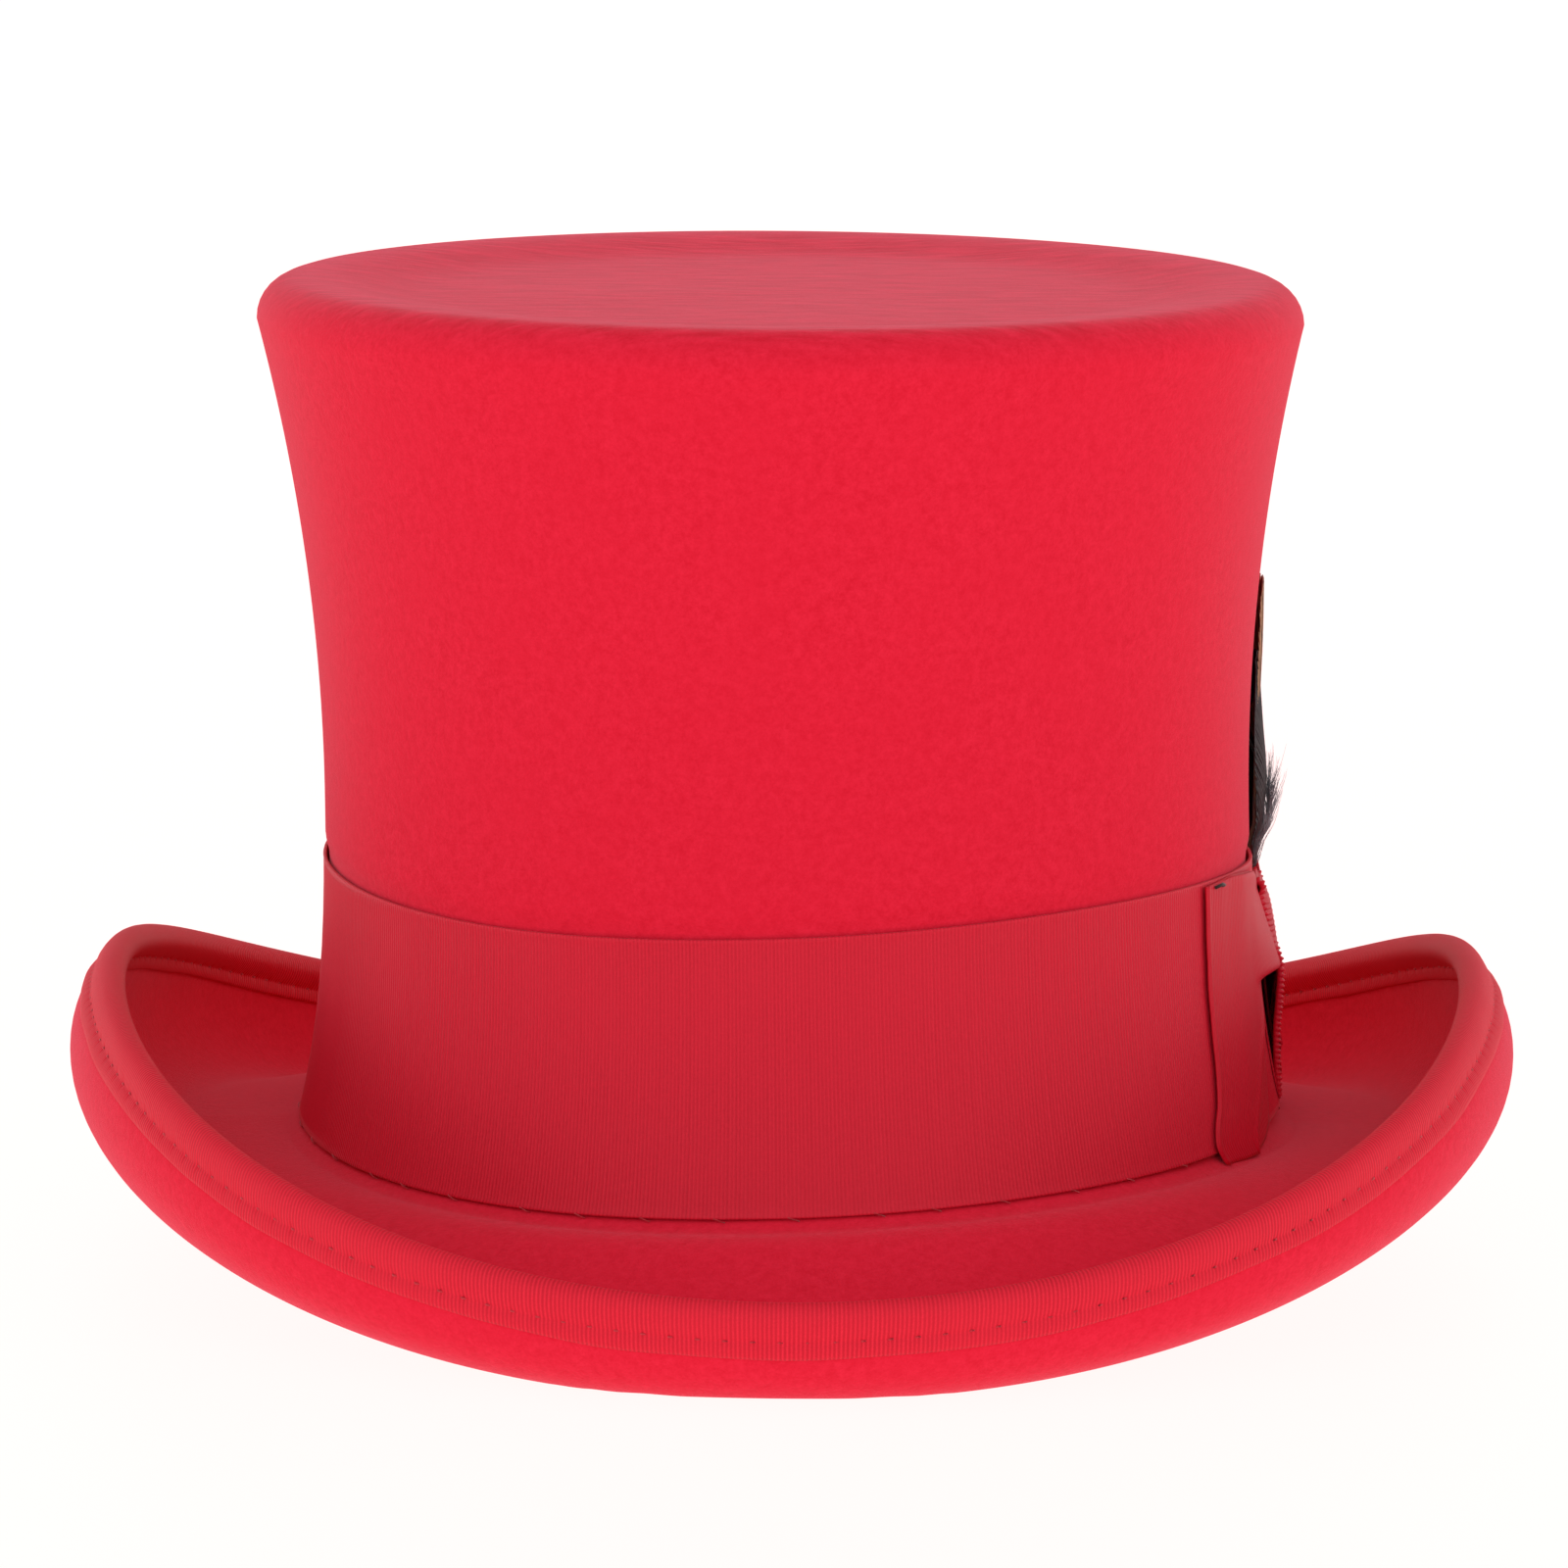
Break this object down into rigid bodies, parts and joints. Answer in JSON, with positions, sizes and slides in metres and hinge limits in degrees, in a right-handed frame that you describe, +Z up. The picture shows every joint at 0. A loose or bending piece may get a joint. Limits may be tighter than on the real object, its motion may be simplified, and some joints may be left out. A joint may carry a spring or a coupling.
{
  "type": "top hat",
  "caption": "Red felt costume top hat with flared crown, wide ribbon band, flat side bow, lift-out feather spray and curled, ribbon-bound brim.",
  "frame": {"origin": "middle of the hat's outline on the surface that the brim stands on", "axes": "+Z up out of the crown, -Y towards the front of the hat, +X towards the wearer's left, where the bow and feathers are"},
  "size_m": [0.2592, 0.3236, 0.1744],
  "materials": {
    "felt": "bright red wool felt, softly brushed",
    "binding_ribbon": "red grosgrain ribbon with fine cross ribs, stitched",
    "band_ribbon": "red grosgrain ribbon with vertical ribs",
    "bow_ribbon": "red grosgrain ribbon, a little deeper than the band",
    "edge_cord": "thin steel hat wire",
    "sweatband_leather": "dark brown smooth leather",
    "reed_plastic": "dark piping",
    "lining_satin": "dark red satin",
    "brown_feather": "brown barred vane with a pale quill",
    "black_feather": "glossy black vane",
    "grey_down": "loose pale grey down"
  },
  "bodies": {
    "hat": {"felt_body": "felt", "brim_binding": "binding_ribbon", "brim_wire": "edge_cord", "hat_band": "band_ribbon", "bow_front_loop": "bow_ribbon", "bow_rear_loop": "bow_ribbon", "bow_knot": "bow_ribbon", "sweatband": "sweatband_leather", "sweatband_reed": "reed_plastic", "lining_side": "lining_satin", "lining_tip": "lining_satin", "seam_bow_loops": "lining_satin", "seam_bow_knot": "lining_satin"},
    "feather_spray": {"feather_brown": "brown_feather", "feather_black": "black_feather", "feather_brown_rear": "brown_feather", "feather_down": "grey_down"}
  },
  "joints": [
    {"name": "feather_lift", "type": "slide", "parent": "hat", "child": "feather_spray", "axis": [0.0433, 0.0056, 0.999], "range_m": [0, 0.017]}
  ]
}
